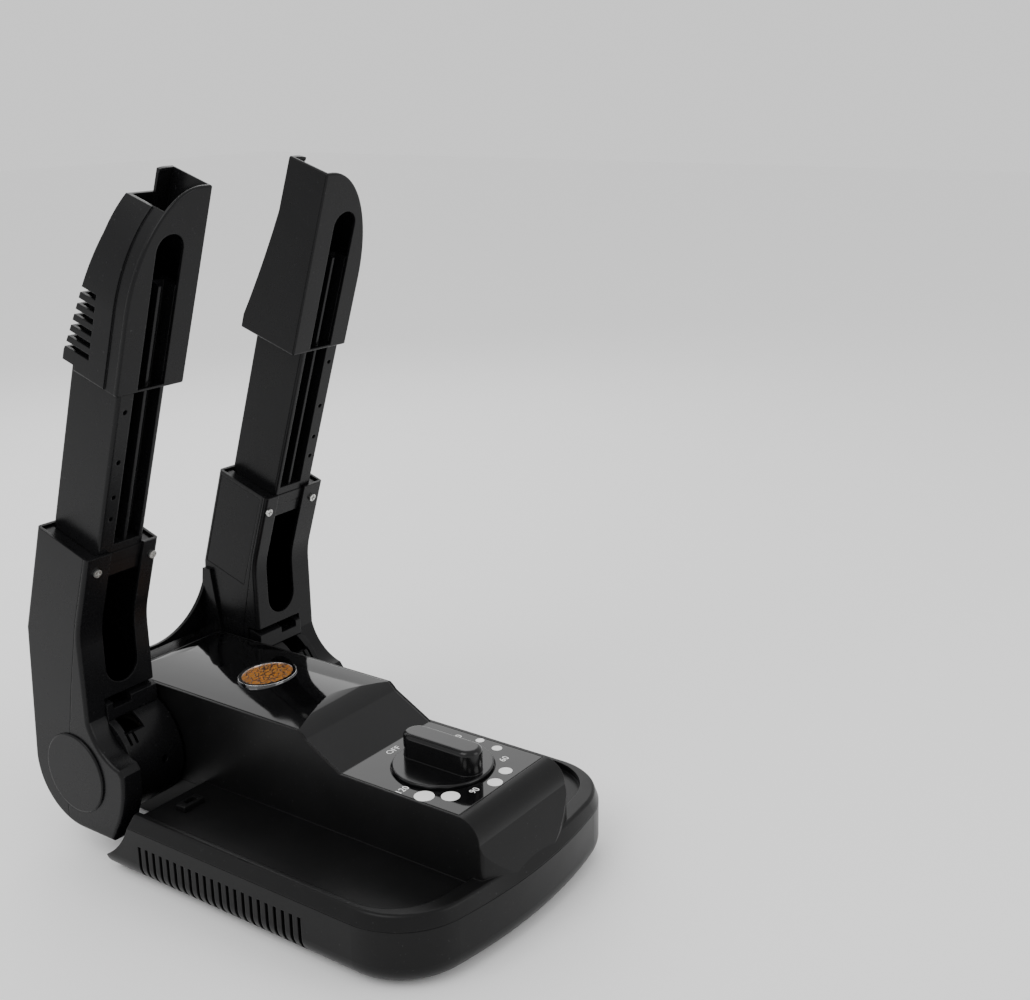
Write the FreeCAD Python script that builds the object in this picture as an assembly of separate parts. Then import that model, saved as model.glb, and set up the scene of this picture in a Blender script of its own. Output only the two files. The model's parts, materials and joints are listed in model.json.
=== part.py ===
import FreeCAD, Part
import math
import os

V = FreeCAD.Vector

# Boot dryer. Millimetres, +Z up. The timer end faces -Y, the hinge end +Y.
# Origin: on the table plane, midway between the sides, near the middle of the base.

# ---- base plan and heights ----
base_half_w = 104.0        # half width of the base
front_y = -152.5           # foremost point of the bowed front
corner_r = 46.0            # front corners in plan
front_bow = 6.0            # how much flatter than the corner the front is
base_z = 2.0               # underside of the shells, above the table
seam_z = 37.0              # joint line between lower and upper shells
rim_z = 45.5               # top of the rim round the trays
rim_side_in = 4.0          # how far the rim leans in at the sides
rim_front_in = 4.5         # how far the rim leans in at the front
bottom_round = 13.0        # rounding under the lower shell
shell_t = 2.5              # wall of the shells
seam_gap = 0.25            # visible joint between shells

# ---- trays ----
tray_floor_z = 41.4
tray_half_w = 96.5         # outer wall of each tray
tray_front_y = -138.0
tray_corner_r = 36.0

# ---- centre hump with the control panel ----
hump_half_w = 42.4
crown = 4.2                # rise of the hump's top from its edges to its middle
panel_z = 80.4
panel_front_y = -127.0
panel_rear_y = -41.0
slope_top_y = 3.0
slope_knee_y = -14.0
slope_knee_z = 95.0
nose_round = 14.0          # rounding from the panel down to the front
nose_in = 1.2              # nose set back from the base's front
nose_bow = 8.0
nose_r = 3.0               # nose corners in plan
cover_t = 3.0
cover_inset = 1.8          # bead of the side wall beside the cover
cover_gap = 0.3
ledge_t = 2.2
ledge_w = 3.6

# ---- fold hinge ----
pivot_y = 126.5
pivot_z = 58.8
hump_rear_r = 44.8         # round rear end of the hump, about the hinge
heel_y = 62.0              # where the lower shell's centre section rises beside the trays
bay_r = 54.0               # space in the base that the arms swing in
bay_low_in = 27.0          # the bay is open below behind this line, before the hinge
tube_r = 20.0              # outside of the hollow cross tube
tube_wall = 2.6
running_gap = 0.06         # radial gap of a turning fit
clamp_gap = 0.1            # radial gap where the shells hold the cross tube
barrel_r = 36.5
barrel_wall = 2.4
barrel_side_gap = 1.4      # between the hump wall and the barrel
knuckle_r = 39.7
cheek_r = 44.5             # front of the cheek, about the hinge
cheek_in = 85.0            # inner face of the cheek
fold_deg = 71.7

# ---- arms ----
lean_deg = 90.0 - fold_deg
arm_in = 45.7              # inner face of an arm sleeve
arm_out = 99.3             # outer face of an arm sleeve
collar_y = 115.5           # middle of the sleeve's mouth
collar_z = 208.8
sleeve_half_d = 22.8
sleeve_straight = 45.0     # straight front below the mouth
knee_r = 50.0              # bend from the lean to upright
sleeve_wall = 2.0
arm_edge_r = 2.4
slot_in = 57.0             # slot in the sleeve's front
slot_out = 81.5
slot_foot_z = 112.4
panel_l = 70.0             # inset panel in the inner face

# ---- sliding tubes and nozzles ----
slide_gap = 0.5
post_in = 55.9
post_out = 89.3
post_wall = 2.2
post_foot = -18.0          # lower end of the tube, along the arm from the mouth
post_top = 165.0
travel = 80.0
channel_in = 59.5
channel_out = 78.6
channel_d = 9.0
channel_foot = 4.0
nozzle_in = 44.8
nozzle_out = 93.0
nozzle_foot = 104.0
nozzle_top = 221.4
nozzle_round_a = 42.0      # half axes of the nozzle's rounded shoulder
nozzle_round_b = 71.4
nozzle_front_d = 22.6
nozzle_rear_d = -23.5
nozzle_wall = 2.0
nozzle_top_d = -8.2        # rear wall near the top
plate_w = 12.0             # width of the rear wall's tongue above the mouth's edge
nozzle_bend = 113.0        # where the rear wall starts to run in
post_step = 118.0          # above this the tube's rear runs in too
mouth_foot = 208.0         # where the outer wall stops and the mouth opens
louver_n = 6
louver_pitch = 7.1
louver_h = 3.4
louver_foot = 115.6

# ---- rear bridge between the arms ----
bridge_r = 52.5            # inside, about the hinge
bridge_t = 3.0
bridge_low_deg = 6.0
bridge_top_deg = 46.0
bridge_arch_r = 46.0       # round arch of its upper edge
bridge_arch_z = 145.0
web_in = 43.3
web_r = 37.6

# ---- timer ----
knob_y = -83.5
knob_r = 30.0
knob_rim_gap = 0.6
knob_sink = 1.2            # depth of the panel's recess under the knob
knob_rim_h = 3.2
knob_bar_l = 54.0
knob_bar_w = 17.0
knob_top = 17.5            # top of the knob above the panel
shaft_r = 3.0
timer_w = 44.0
timer_h = 26.0

# ---- blower and heater ----
fan_y = 30.0
fan_r = 29.0
fan_h = 26.0
fan_z = 26.4
fan_gap = 1.5
fan_blades = 24
hub_r = 8.0
scroll_t = 1.8
motor_r = 16.5
motor_h = 27.0
motor_shaft_r = 1.6
heater_y = 74.0
heater_l = 18.0
heater_half_w = 27.0
heater_z = 28.4
heater_h = 34.0

# ---- badge ----
badge_y = 57.0
badge_half_x = 20.0
badge_half_y = 16.5
badge_rim = 2.2
badge_sink = 1.0

# ---- vents, feet, screws, cord inlet ----
vent_n = 22
vent_pitch = 6.2
vent_w = 2.4
vent_front_y = -64.0
vent_top_z = 27.5
vent_foot_z = 6.0
foot_r = 7.5
foot_h = 4.0
screw_r = 1.5
screw_head_r = 3.0
boss_r = 4.2
inlet_r = 3.6
inlet_len = 14.0
inlet_z = 17.0
inlet_land = 9.0           # flat part of the heel above the inlet's middle

RAD = math.pi / 180.0
LEAN = lean_deg * RAD
U = V(0, -math.sin(LEAN), math.cos(LEAN))     # along the arm, upwards
P = V(0, -math.cos(LEAN), -math.sin(LEAN))    # out of the arm's front
SIDES = (("left", -1), ("right", 1))
X_AXIS = V(1, 0, 0)
Z_AXIS = V(0, 0, 1)


def box(x0, x1, y0, y1, z0, z1):
    return Part.makeBox(x1 - x0, y1 - y0, z1 - z0, V(x0, y0, z0))


def rod(radius, length, start, axis):
    return Part.makeCylinder(radius, length, start, axis)


def along_x(points, x0, x1):
    """Prism of a Y-Z outline between two X planes. A point may be a (start, middle, end) arc."""
    return prism([[V(x0, *q) for q in leg] for leg in legs_of(points)], V(x1 - x0, 0, 0))


def legs_of(points):
    """Turn an outline into legs of two points (line) or three points (arc)."""
    legs = []
    here = points[0]
    for item in points[1:] + [points[0]]:
        if isinstance(item[0], tuple):
            legs.append([here, item[0], item[1]])
            here = item[1]
        else:
            legs.append([here, item])
            here = item
    return legs


def prism(legs, way):
    edges = []
    for leg in legs:
        if len(leg) == 3:
            edges.append(Part.Arc(*leg).toShape())
        elif leg[0].distanceToPoint(leg[1]) > 1e-6:
            edges.append(Part.LineSegment(*leg).toShape())
    return Part.Face(Part.Wire(edges)).extrude(way)


def arm_point(x, s, d):
    """Point at s along the arm from the sleeve's mouth and d forward of its middle."""
    return V(x, collar_y, collar_z) + U * s + P * d


def along_arm_x(points, x0, x1):
    """Prism between two X planes of an outline in arm coordinates (s, d)."""
    flat = [(arm_point(0, s, d).y, arm_point(0, s, d).z) for s, d in points]
    return along_x(flat, min(x0, x1), max(x0, x1))


def slant_box(x0, x1, s0, s1, d0, d1):
    return along_arm_x([(s0, d0), (s0, d1), (s1, d1), (s1, d0)], x0, x1)


def mirror_for(shape, side):
    """The right-hand piece is the mirror image of the left-hand one."""
    return shape if side < 0 else shape.mirror(V(0, 0, 0), X_AXIS)


def join(shapes):
    whole = shapes[0].multiFuse(list(shapes[1:])) if len(shapes) > 1 else shapes[0]
    return whole.removeSplitter()


def round_edges(shape, radius, wanted):
    """Fillet the edges that pass the test, or one by one when together they can't."""
    edges = [e for e in shape.Edges if wanted(e)]
    if not edges:
        return shape
    return shape.makeFillet(radius, edges)


def save(name, shape):
    solids = shape.Solids
    if not solids or not shape.isValid():
        raise ValueError("bad solid: " + name)
    out = solids[0] if len(solids) == 1 else Part.makeCompound(solids)
    out.exportStep("parts/" + name + ".step")


# ---------------------------------------------------------------- base outlines

def plan(half_w, front, corner, bow, z, rear):
    """Bowed-front plan outline with round front corners, as a wire."""
    deep = corner + bow
    a = half_w - corner
    front_r = (a * a + deep * deep - corner * corner) / (2.0 * (deep - corner))
    cy = front + deep
    ky = front + front_r
    reach = math.hypot(a, cy - ky)
    tx = a / reach * front_r
    ty = ky + (cy - ky) / reach * front_r
    turn = math.atan2(ty - cy, tx - a)
    mid = turn / 2.0
    mx = a + corner * math.cos(mid)
    my = cy + corner * math.sin(mid)
    pts = [V(-half_w, rear, z), V(-half_w, cy, z), V(-mx, my, z), V(-tx, ty, z), V(0, front, z)]
    pts += [V(tx, ty, z), V(mx, my, z), V(half_w, cy, z), V(half_w, rear, z)]
    edges = [Part.LineSegment(pts[0], pts[1]).toShape()]
    edges.append(Part.Arc(pts[1], pts[2], pts[3]).toShape())
    edges.append(Part.Arc(pts[3], pts[4], pts[5]).toShape())
    edges.append(Part.Arc(pts[5], pts[6], pts[7]).toShape())
    edges.append(Part.LineSegment(pts[7], pts[8]).toShape())
    edges.append(Part.LineSegment(pts[8], pts[0]).toShape())
    return Part.Wire(edges)


def swing_bay(radius):
    """The two spaces beside the hump's rear end, round the hinge, that the arms swing in."""
    clear = hump_half_w
    one = rod(radius, base_half_w, V(clear, pivot_y, pivot_z), X_AXIS)
    behind = box(clear, base_half_w + clear, pivot_y - 1.0, pivot_y + base_half_w, -1.0, panel_z + radius)
    low_y = pivot_y - bay_low_in - (radius - bay_r)
    below = box(clear, base_half_w + clear, low_y, pivot_y, -1.0, pivot_z)
    right = one.fuse(behind).fuse(below)
    return right.fuse(right.mirror(V(0, 0, 0), X_AXIS))


def arc_about_pivot(radius, deg0, deg1):
    """Middle and end point of an arc about the hinge, as (middle, end) pairs in Y and Z."""
    mid = (deg0 + deg1) / 2.0 * RAD
    end = deg1 * RAD
    middle = (pivot_y + radius * math.cos(mid), pivot_z + radius * math.sin(mid))
    last = (pivot_y + radius * math.cos(end), pivot_z + radius * math.sin(end))
    return (middle, last)


def on_pivot(radius, deg):
    return (pivot_y + radius * math.cos(deg * RAD), pivot_z + radius * math.sin(deg * RAD))


def heel_outline(radius, lowest, start_y):
    """Lower rear outline of the centre section, from the front along the bottom to the seam."""
    seam_deg = math.degrees(math.asin((seam_z - pivot_z) / radius))
    low_deg = math.degrees(math.asin((inlet_z + inlet_land - pivot_z) / radius))
    foot = (pivot_y + radius * 0.5, lowest)
    return [(start_y, lowest), foot, on_pivot(radius, low_deg), arc_about_pivot(radius, low_deg, seam_deg),
            (start_y, seam_z)]


def screw_places():
    outer_x = base_half_w - 21.0
    inner_x = hump_half_w + 15.6
    spots = ((outer_x, -70.0), (outer_x, 20.0), (inner_x, 52.0))
    return [(side * x, y) for side in (-1, 1) for x, y in spots]


def foot_places():
    rear_x = hump_half_w - foot_r - 4.0
    rear_y = pivot_y + hump_rear_r * 0.5 - foot_r - 2.0
    places = [(s * (base_half_w - 34.0), front_y + 46.0) for s in (-1, 1)]
    places += [(s * (base_half_w - 34.0), pivot_y - bay_r - 24.0) for s in (-1, 1)]
    places += [(s * rear_x, rear_y) for s in (-1, 1)]
    places.append((0.0, 0.0))
    return places


def make_lower_housing():
    rear = pivot_y
    tub = Part.Face(plan(base_half_w, front_y, corner_r, front_bow, base_z, rear)).extrude(V(0, 0, seam_z - base_z))
    tub = round_edges(tub, bottom_round, lambda e: e.BoundBox.ZMax < base_z + 0.1 and e.BoundBox.YMin < rear - 1.0)
    hollow = Part.Face(plan(base_half_w - shell_t, front_y + shell_t, corner_r - shell_t, front_bow,
                            base_z + shell_t, rear + 1.0)).extrude(V(0, 0, seam_z))
    hollow = round_edges(hollow, bottom_round - shell_t,
                         lambda e: e.BoundBox.ZMax < base_z + shell_t + 0.1 and e.BoundBox.YMin < rear)
    hollow = hollow.cut(swing_bay(bay_r + shell_t))
    heel = along_x(heel_outline(hump_rear_r, base_z, heel_y), -hump_half_w, hump_half_w)
    heel_hollow = along_x(heel_outline(hump_rear_r - shell_t, base_z + shell_t, 0.0), -hump_half_w + shell_t,
                          hump_half_w - shell_t)
    heel_hollow = heel_hollow.fuse(heel_hollow.translated(V(0, 0, 6)))
    body = tub.cut(swing_bay(bay_r)).cut(hollow)
    body = body.fuse(heel).cut(heel_hollow)
    cuts = [rod(tube_r + clamp_gap, 2 * base_half_w, V(-base_half_w, pivot_y, pivot_z), X_AXIS)]
    for i in range(vent_n):
        y = vent_front_y + i * vent_pitch
        for side in (-1, 1):
            x0 = side * (base_half_w - bottom_round * 0.55)
            x1 = side * (base_half_w + 2.0)
            cuts.append(box(min(x0, x1), max(x0, x1), y, y + vent_w, vent_foot_z, vent_top_z))
    for x, y in foot_places():
        cuts.append(rod(foot_r + 0.2, 1.2, V(x, y, base_z - 0.1), Z_AXIS))
    bosses = []
    for x, y in screw_places():
        bosses.append(rod(boss_r, 15.0, V(x, y, base_z + 1.0), Z_AXIS))
        cuts.append(rod(screw_r + 0.3, 20.0, V(x, y, base_z - 1.0), Z_AXIS))
        cuts.append(rod(screw_head_r + 0.3, 5.0, V(x, y, base_z - 1.0), Z_AXIS))
    inlet_y = rear_wall_y(inlet_z)
    cuts.append(rod(inlet_r + 2.4, 3 * shell_t + 14.0, V(0, inlet_y - 12.0, inlet_z), V(0, 1, 0)))
    return join([body] + bosses).cut(Part.makeCompound(cuts))


def rear_wall_y(z):
    """Y of the centre section's sloping heel at a height below the round part."""
    top = on_pivot(hump_rear_r, math.degrees(math.asin((inlet_z + inlet_land - pivot_z) / hump_rear_r)))
    foot_y = pivot_y + hump_rear_r * 0.5
    return foot_y + (top[0] - foot_y) * (z - base_z) / (top[1] - base_z)


def heel_slope():
    """How far the heel leans back for each millimetre of height."""
    return (rear_wall_y(inlet_z + inlet_land) - rear_wall_y(base_z)) / (inlet_z + inlet_land - base_z)


def hump_top_z():
    return pivot_z + hump_rear_r


def hump_outline(drop, front_in, rear_r, floor):
    """Side outline of the hump and nose; drop lowers the top, front_in and rear_r set the ends."""
    top = hump_top_z() - drop
    seam_deg = math.degrees(math.asin((floor - pivot_z) / rear_r))
    top_deg = 90.0 if drop == 0 else math.degrees(math.asin(min(1.0, (top - pivot_z) / rear_r)))
    nose_y = front_y + front_in
    start = on_pivot(rear_r, seam_deg)
    pts = [start, arc_about_pivot(rear_r, seam_deg, top_deg)]
    pts.append((slope_top_y, top))
    knee_mid = ((slope_top_y + slope_knee_y) / 2.0 - 0.8, (top + slope_knee_z - drop) / 2.0 + 1.7)
    pts.append((knee_mid, (slope_knee_y, slope_knee_z - drop)))
    pts.append((panel_rear_y, panel_z - drop))
    pts.append((panel_front_y + front_in - nose_in, panel_z - drop))
    lip_y = panel_front_y + front_in - nose_in
    bend_mid = (lip_y - nose_round * math.sin(45 * RAD), panel_z - drop - nose_round * (1 - math.cos(45 * RAD)))
    pts.append((bend_mid, (lip_y - nose_round, panel_z - drop - nose_round)))
    pts.append((nose_y, floor))
    return pts


def hump_solid():
    side = along_x(hump_outline(0.0, nose_in, hump_rear_r, seam_z), -hump_half_w, hump_half_w)
    top = hump_top_z()
    edge = top - crown
    crown_legs = [[V(-hump_half_w, -300, edge), V(0, -300, top), V(hump_half_w, -300, edge)]]
    crown_legs.append([V(hump_half_w, -300, edge), V(hump_half_w, -300, 0)])
    crown_legs.append([V(hump_half_w, -300, 0), V(-hump_half_w, -300, 0)])
    crown_legs.append([V(-hump_half_w, -300, 0), V(-hump_half_w, -300, edge)])
    crowned = prism(crown_legs, V(0, 600, 0))
    nose = Part.Face(plan(hump_half_w, front_y + nose_in, nose_r, nose_bow, seam_z - 2.0, 250.0)).extrude(V(0, 0, 100))
    return side.common(crowned).common(nose)


def cover_layer(hump, depth, inset):
    """Top layer of the hump, depth thick, kept inset from its sides, front and rear."""
    rear = pivot_y + math.sqrt(hump_rear_r ** 2 - (hump_rear_r - crown) ** 2) - 4.0
    lower = hump.translated(V(0, 0, -depth))
    limit = box(-hump_half_w + inset, hump_half_w - inset, panel_front_y - 1.0 + inset, rear - inset, 55.0, 120.0)
    return hump.cut(lower).common(limit)


def make_upper_housing(hump):
    low = plan(base_half_w, front_y, corner_r, front_bow, seam_z + seam_gap, pivot_y)
    high = plan(base_half_w - rim_side_in, front_y + rim_front_in, corner_r - 4.0, front_bow - 2.0, rim_z, pivot_y)
    slab = Part.makeLoft([low, high], True, True)
    slab = round_edges(slab, 2.2, lambda e: e.BoundBox.ZMin > rim_z - 0.1 and e.BoundBox.YMin < pivot_y - 1.0)
    tray = Part.Face(plan(tray_half_w, tray_front_y, tray_corner_r, 5.0, tray_floor_z, pivot_y + 1.0))
    tray = tray.extrude(V(0, 0, rim_z))
    under = Part.Face(plan(tray_half_w + 4.0, tray_front_y - 9.0, tray_corner_r + 4.0, 5.0, 0.0, pivot_y + 1.0))
    under = under.extrude(V(0, 0, tray_floor_z - shell_t))
    body = slab.cut(tray.cut(box(-hump_half_w, hump_half_w, -200, 200, 0, 100)))
    body = body.cut(under).cut(swing_bay(bay_r))
    inner = along_x(hump_outline(cover_t + cover_gap + ledge_t + crown, 4.0, hump_rear_r - shell_t, seam_z),
                    -hump_half_w + shell_t, hump_half_w - shell_t)
    inner = inner.fuse(inner.translated(V(0, 0, -8.0)))
    nose_hollow = Part.Face(plan(hump_half_w - shell_t, front_y + 4.0, nose_r, nose_bow, 0.0, 250.0))
    inner = inner.common(nose_hollow.extrude(V(0, 0, 100)))
    pocket = cover_layer(hump, cover_t + cover_gap, cover_inset - cover_gap)
    window = box(-hump_half_w + cover_inset + ledge_w, hump_half_w - cover_inset - ledge_w,
                 panel_front_y + cover_inset + ledge_w, pivot_y + 4.0, 55.0, 120.0)
    bosses = [rod(boss_r, tray_floor_z - shell_t - 19.8, V(x, y, 20.2), Z_AXIS) for x, y in screw_places()]
    body = join([body, hump] + bosses)
    heel_room = box(-hump_half_w - 0.1, hump_half_w + 0.1, heel_y - 0.2, pivot_y + 90.0, 0.0, seam_z)
    cuts = [inner, pocket, window, heel_room]
    cuts += [rod(tube_r + clamp_gap, 2 * base_half_w, V(-base_half_w, pivot_y, pivot_z), X_AXIS)]
    cuts += [rod(screw_r, 9.0, V(x, y, 20.0), Z_AXIS) for x, y in screw_places()]
    for tool in cuts:
        body = body.cut(tool)
    return body


def make_centre_cover(hump):
    cover = cover_layer(hump, cover_t, cover_inset)
    recess = rod(knob_r + knob_rim_gap, 10.0, V(0, knob_y, panel_z - knob_sink), Z_AXIS)
    hole = rod(shaft_r + 1.0, 20.0, V(0, knob_y, panel_z - 10.0), Z_AXIS)
    badge = oval(badge_half_x + 0.1, badge_half_y + 0.1, hump_top_z() - badge_sink - 0.6, 10.0)
    return cover.cut(recess).cut(hole).cut(badge)


def oval(half_x, half_y, z, height):
    ring = Part.Ellipse(V(0, badge_y, z), half_x, half_y).toShape()
    return Part.Face(Part.Wire([ring])).extrude(V(0, 0, height))


# ---------------------------------------------------------------- arms

def sleeve_outline(grow):
    """Side outline of an arm from its mouth down to the knuckle; grow moves the wall out."""
    half = sleeve_half_d + grow
    top = 0.0 if grow == 0 else 5.0
    front = arm_point(0, top, half)
    bend = arm_point(0, -sleeve_straight, half)
    rear = arm_point(0, top, -half)
    rear_bend = arm_point(0, -72.0, -half)
    knee_mid = (bend.y + knee_r * (math.cos(LEAN / 2) - math.cos(LEAN)), bend.z - knee_r * half_knee_drop())
    knee_end = (bend.y + knee_r * (1 - math.cos(LEAN)), bend.z - knee_r * math.sin(LEAN))
    r = knuckle_r + grow
    reach = math.hypot(rear_bend.y - pivot_y, rear_bend.z - pivot_z)
    heel_deg = math.degrees(math.atan2(rear_bend.z - pivot_z, rear_bend.y - pivot_y) - math.acos(r / reach))
    pts = [(front.y, front.z), (bend.y, bend.z), (knee_mid, knee_end)]
    pts.append((knee_end[0], pivot_z + 30.0))
    pts.append((pivot_y - r * 0.55, pivot_z + 10.0))
    pts.append((pivot_y - r * 0.55, pivot_z - r * 0.55))
    pts.append(on_pivot(r, -90.0))
    pts.append(arc_about_pivot(r, -90.0, heel_deg))
    pts.append((rear_bend.y, rear_bend.z))
    pts.append((rear.y, rear.z))
    return pts


def half_knee_drop():
    return math.sin(LEAN) - math.sin(LEAN / 2)


def shin_y():
    """Y of the sleeve's upright front below its bend."""
    return bend_y() + knee_r * (1 - math.cos(LEAN))


def outer_outline(grow):
    """Side outline of the arm's outer part: the sleeve and the cheek round the hinge in one."""
    r = knuckle_r + grow
    front = cheek_r + grow
    sleeve = sleeve_outline(grow)
    pts = sleeve[:3]
    pts.append((shin_y() - grow, pivot_z + 36.0))
    pts.append(((pivot_y - 26.0 - grow, pivot_z + 19.5 + grow), (pivot_y - 41.0 - grow * 0.5, pivot_z + 11.5 + grow)))
    pts.append(on_pivot(front, 170.0))
    pts.append((on_pivot(front - 1.0, 195.0), on_pivot(front + 1.0, 222.0)))
    pts.append((pivot_y - 29.0 - grow, pivot_z - r))
    return pts + sleeve[-4:]


def edge_runs_along_arm(e):
    a, b = e.Vertexes[0].Point, e.Vertexes[-1].Point
    return a.distanceToPoint(b) > 12.0 and abs(a.x - b.x) < 0.1


def edges_in_plane_x(shape, x):
    return [e for e in shape.Edges if abs(e.BoundBox.XMin - x) < 0.01 and abs(e.BoundBox.XMax - x) < 0.01]


def make_arm_left():
    """Whole left arm casing, before it is split into a front and a rear shell."""
    mouth = arm_point(0, 0, 0)
    outer = along_x(outer_outline(0.0), -arm_out, -cheek_in)
    outer = outer.makeFillet(arm_edge_r, [e for e in edges_in_plane_x(outer, -arm_out) if not on_mouth(e, mouth)])
    sleeve = along_x(sleeve_outline(0.0), -cheek_in, -arm_in)
    rims = edges_in_plane_x(sleeve, -arm_in)
    sleeve = sleeve.makeFillet(arm_edge_r, [e for e in rims if not on_mouth(e, mouth) and sleeve_rim(e)])
    body = outer.fuse(sleeve).removeSplitter()
    inner = along_x(sleeve_outline(-sleeve_wall), -arm_out + sleeve_wall, -arm_in - sleeve_wall)
    cheek_inner = along_x(outer_outline(-sleeve_wall), -arm_out + sleeve_wall, -cheek_in - sleeve_wall)
    bore = rod(barrel_r + 0.1, cheek_in - arm_in + 10.0, V(-cheek_in, pivot_y, pivot_z), X_AXIS)
    front_open = box(-cheek_in, -arm_in + 10.0, pivot_y - 80.0, shin_y() + 10.0, 0.0, pivot_z + 47.0)
    for tool in (inner, cheek_inner, bore, front_open, front_slot(slot_in, slot_out, slot_foot_z)):
        body = body.cut(tool)
    return body


def sleeve_rim(e):
    """True for the sleeve's outer rims, false for its foot inside the cheek and round the barrel."""
    middle = e.BoundBox.Center
    return middle.y > pivot_y + 5.0 or middle.z > pivot_z + 31.0


def bend_y():
    return arm_point(0, -sleeve_straight, sleeve_half_d).y


def on_mouth(e, middle):
    normal_gap = [abs((v.Point - middle).dot(U)) for v in e.Vertexes]
    return max(normal_gap) < 0.2


def front_slot(x0, x1, foot_z):
    """Round-footed slot through the front of the left sleeve."""
    r = (x1 - x0) / 2.0
    mid = -(x0 + x1) / 2.0
    near = pivot_y - 70.0
    upper = box(-x1, -x0, near, pivot_y - 0.5, foot_z + r, collar_z + 10.0)
    lean_keep = slant_box(-x1 - 1, -x0 + 1, -400, 20, sleeve_half_d - 6.0, sleeve_half_d + 60.0)
    low_keep = box(-x1 - 1, -x0 + 1, near, bend_y() + 9.0, 0, bend_z())
    foot = rod(r, 80.0, V(mid, near, foot_z + r), V(0, 1, 0))
    return upper.fuse(foot).common(lean_keep.fuse(low_keep))


def bend_z():
    return arm_point(0, -sleeve_straight, sleeve_half_d).z


def front_region(shift):
    """Everything in front of the joint line that splits an arm into two shells."""
    mouth = arm_point(0, 6.0, sleeve_half_d - 3.2)
    bend = arm_point(0, -sleeve_straight, sleeve_half_d - 3.6)
    pts = [(mouth.y + shift, mouth.z), (bend.y + shift, bend.z)]
    pts.append((shin_y() + 6.0 + shift, bend_z() - 20.0))
    pts.append((shin_y() + 12.0 + shift, bend_z() - 45.0))
    pts.append((pivot_y + 3.0 + shift, pivot_z + 20.0))
    pts.append((pivot_y + 12.0 + shift, pivot_z - 6.0))
    pts.append((pivot_y + 12.0 + shift, -20.0))
    pts.append((-40.0, -20.0))
    pts.append((-40.0, mouth.z))
    return along_x(pts, -arm_out - 5.0, -arm_in + 5.0)


def side_panel_box(gap):
    """Space of the inset panel in an arm's inner face."""
    return slant_box(-arm_in - 1.0 - gap, -arm_in + 2.0, -panel_l - gap, -2.5 + gap,
                     -sleeve_half_d + 3.3 - gap, sleeve_half_d - 5.8 + gap)


def make_barrel_left():
    """Hinge barrel of an arm: a closed drum with a bore for the cross tube and an air window."""
    x0 = -cheek_in + 0.1
    x1 = -hump_half_w - barrel_side_gap
    drum = rod(barrel_r, x1 - x0, V(x0, pivot_y, pivot_z), X_AXIS)
    drum = round_edges(drum, 2.0, lambda e: abs(e.BoundBox.XMax - x1) < 0.01 and e.Length > 100)
    hollow = rod(barrel_r - barrel_wall, x1 - x0 - 2 * barrel_wall - 2.0, V(x0 + barrel_wall, pivot_y, pivot_z), X_AXIS)
    bore = rod(tube_r + running_gap, 20.0, V(x1 - 15.0, pivot_y, pivot_z), X_AXIS)
    window = box(x0 + 8.0, x1 - 12.0, pivot_y - 4.0, pivot_y + 24.0, pivot_z + 20.0, pivot_z + 60.0)
    notch = box(-80.0, -66.0, pivot_y - 30.0, pivot_y - 12.0, pivot_z + 24.0, pivot_z + 60.0)
    slots = [slot_cut(x) for x in (x0 + 4.0, x0 + 8.5)]
    pip = rod(2.2, 30.0, V(-60.0, pivot_y - 60.0, pivot_z + 2.0), V(0, 1, 0))
    for tool in [hollow, bore, window, notch, pip] + slots:
        drum = drum.cut(tool)
    return drum


def slot_cut(x):
    return box(x, x + 1.8, pivot_y - 60.0, pivot_y - 26.0, pivot_z + 18.0, pivot_z + 27.0)


def make_brow_left():
    """Curved sill that closes the sleeve's foot above the barrel, with a notch in it."""
    ring = rod(barrel_r + 10.0, cheek_in - arm_in - 0.4, V(-cheek_in + 0.2, pivot_y, pivot_z), X_AXIS)
    ring = ring.cut(rod(barrel_r + 0.3, 200.0, V(-150.0, pivot_y, pivot_z), X_AXIS))
    shin = shin_y()
    keep = box(-cheek_in, -arm_in, shin - 1.5, shin + 9.0, pivot_z + 22.0, pivot_z + 60.0)
    notch = box(-80.0, -66.0, shin - 5.0, shin + 12.0, pivot_z + 39.0, pivot_z + 70.0)
    return ring.common(keep).cut(notch)


def make_bridge():
    """Curved plate behind the hump that joins both arms, with webs to the sleeves."""
    outer = bridge_r + bridge_t
    pts = [on_pivot(bridge_r, bridge_low_deg), on_pivot(outer, bridge_low_deg)]
    pts.append(arc_about_pivot(outer, bridge_low_deg, bridge_top_deg))
    top = arm_point(0, -72.0, -sleeve_half_d)
    pts.append((top.y - 0.2, top.z - 4.0))
    pts.append((top.y - 0.2 - bridge_t, top.z - 4.0))
    pts.append(on_pivot(bridge_r, bridge_top_deg))
    back = arc_about_pivot(bridge_r, bridge_top_deg, bridge_low_deg)
    pts.append((back[0], pts[0]))
    plate = along_x(pts, -arm_in, arm_in)
    arch = rod(bridge_arch_r, 200.0, V(0, pivot_y, bridge_arch_z), V(0, 1, 0))
    arch = arch.fuse(box(-bridge_arch_r, bridge_arch_r, pivot_y, pivot_y + 200.0, bridge_arch_z, bridge_arch_z + 50))
    plate = plate.cut(arch)
    web_pts = [on_pivot(web_r, bridge_low_deg), on_pivot(outer - 0.5, bridge_low_deg)]
    web_pts.append(arc_about_pivot(outer - 0.5, bridge_low_deg, bridge_top_deg))
    web_pts.append((top.y - 1.0, top.z - 5.0))
    web_pts.append((top.y - 8.0, top.z - 5.0))
    web_pts.append(on_pivot(web_r, 62.0))
    web_back = arc_about_pivot(web_r, 62.0, bridge_low_deg)
    web_pts.append((web_back[0], web_pts[0]))
    webs = [along_x(web_pts, web_in, arm_in), along_x(web_pts, -arm_in, -web_in)]
    return join([plate] + webs)


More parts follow.
